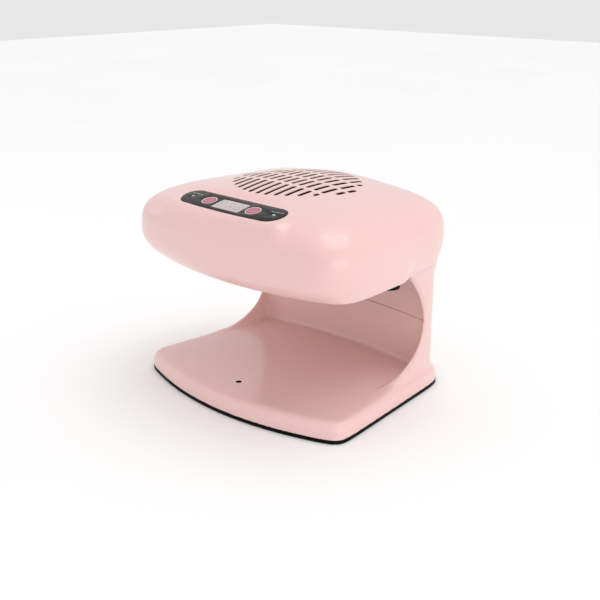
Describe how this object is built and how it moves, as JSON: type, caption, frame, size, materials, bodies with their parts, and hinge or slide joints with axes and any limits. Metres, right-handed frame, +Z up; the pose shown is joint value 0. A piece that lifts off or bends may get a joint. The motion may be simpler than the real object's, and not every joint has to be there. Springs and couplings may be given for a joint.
{
  "type": "nail dryer",
  "caption": "Table-top two-hand nail dryer: a fan head over an open hand tray, with a slotted intake grille, timer panel and outlet bar.",
  "frame": {"origin": "centre of the footprint, on the table under the feet", "axes": "+X to the user's right facing the front, +Y to the rear, +Z up; the open front faces -Y"},
  "size_m": [0.2528, 0.208, 0.1968],
  "materials": {
    "pink_shell": "glossy pale pink ABS",
    "black_base": "black moulded plastic",
    "rubber": "black rubber",
    "charcoal": "dark grey satin plastic",
    "window": "pale translucent window",
    "button": "dusty rose plastic",
    "led": "clear lamp",
    "sensor_glass": "dark infrared lens",
    "steel": "zinc-plated steel",
    "motor_steel": "motor can",
    "mica": "mica board",
    "heater_wire": "nichrome wire",
    "board": "green circuit board",
    "component": "electronic component",
    "display": "digit block",
    "wire": "insulated wire"
  },
  "bodies": {
    "housing": {"base_plate": "black_base", "base_shell": "pink_shell", "inner_back_panel": "pink_shell", "head_cover": "pink_shell", "underside_pan": "pink_shell", "outlet_nozzle": "charcoal", "outlet_grille": "charcoal", "air_duct": "black_base", "fan_frame": "black_base", "fan_motor": "motor_steel", "heater_frame": "mica", "heater_element": "heater_wire", "thermal_cutout": "steel", "control_panel": "charcoal", "display_window": "window", "display_module": "display", "tact_switch_left": "component", "tact_switch_right": "component", "status_led_left": "led", "status_led_right": "led", "control_board": "board", "power_board": "board", "power_transformer": "component", "power_relay": "component", "filter_capacitor": "component", "sensor_board": "board", "sensor_receiver": "component", "sensor_lens": "sensor_glass", "sensor_emitter": "sensor_glass", "cord_gland": "rubber", "mains_loom": "wire", "sensor_loom": "wire", "foot_front_left": "rubber", "foot_front_right": "rubber", "foot_rear_left": "rubber", "foot_rear_right": "rubber", "base_screw_1": "steel", "base_screw_2": "steel", "base_screw_3": "steel", "base_screw_4": "steel", "pan_screw_1": "steel", "pan_screw_2": "steel", "pan_screw_3": "steel", "pan_screw_4": "steel", "fan_screw_1": "steel", "fan_screw_2": "steel", "fan_screw_3": "steel", "fan_screw_4": "steel"},
    "fan_rotor": {"fan_impeller": "charcoal", "fan_shaft": "steel"},
    "left_button": {"button_left": "button"},
    "right_button": {"button_right": "button"}
  },
  "joints": [
    {"name": "fan_spin", "type": "hinge", "parent": "housing", "child": "fan_rotor", "pos_m": [0, 0.002, 0.173], "axis": [0, 0, 1], "continuous": true},
    {"name": "left_button_press", "type": "slide", "parent": "housing", "child": "left_button", "axis": [0, 0.1959, -0.9806], "range_m": [0, 0.0008], "stiffness_N_per_m": 400, "springref_m": -0.0004},
    {"name": "right_button_press", "type": "slide", "parent": "housing", "child": "right_button", "axis": [0, 0.1959, -0.9806], "range_m": [0, 0.0008], "stiffness_N_per_m": 400, "springref_m": -0.0004}
  ]
}
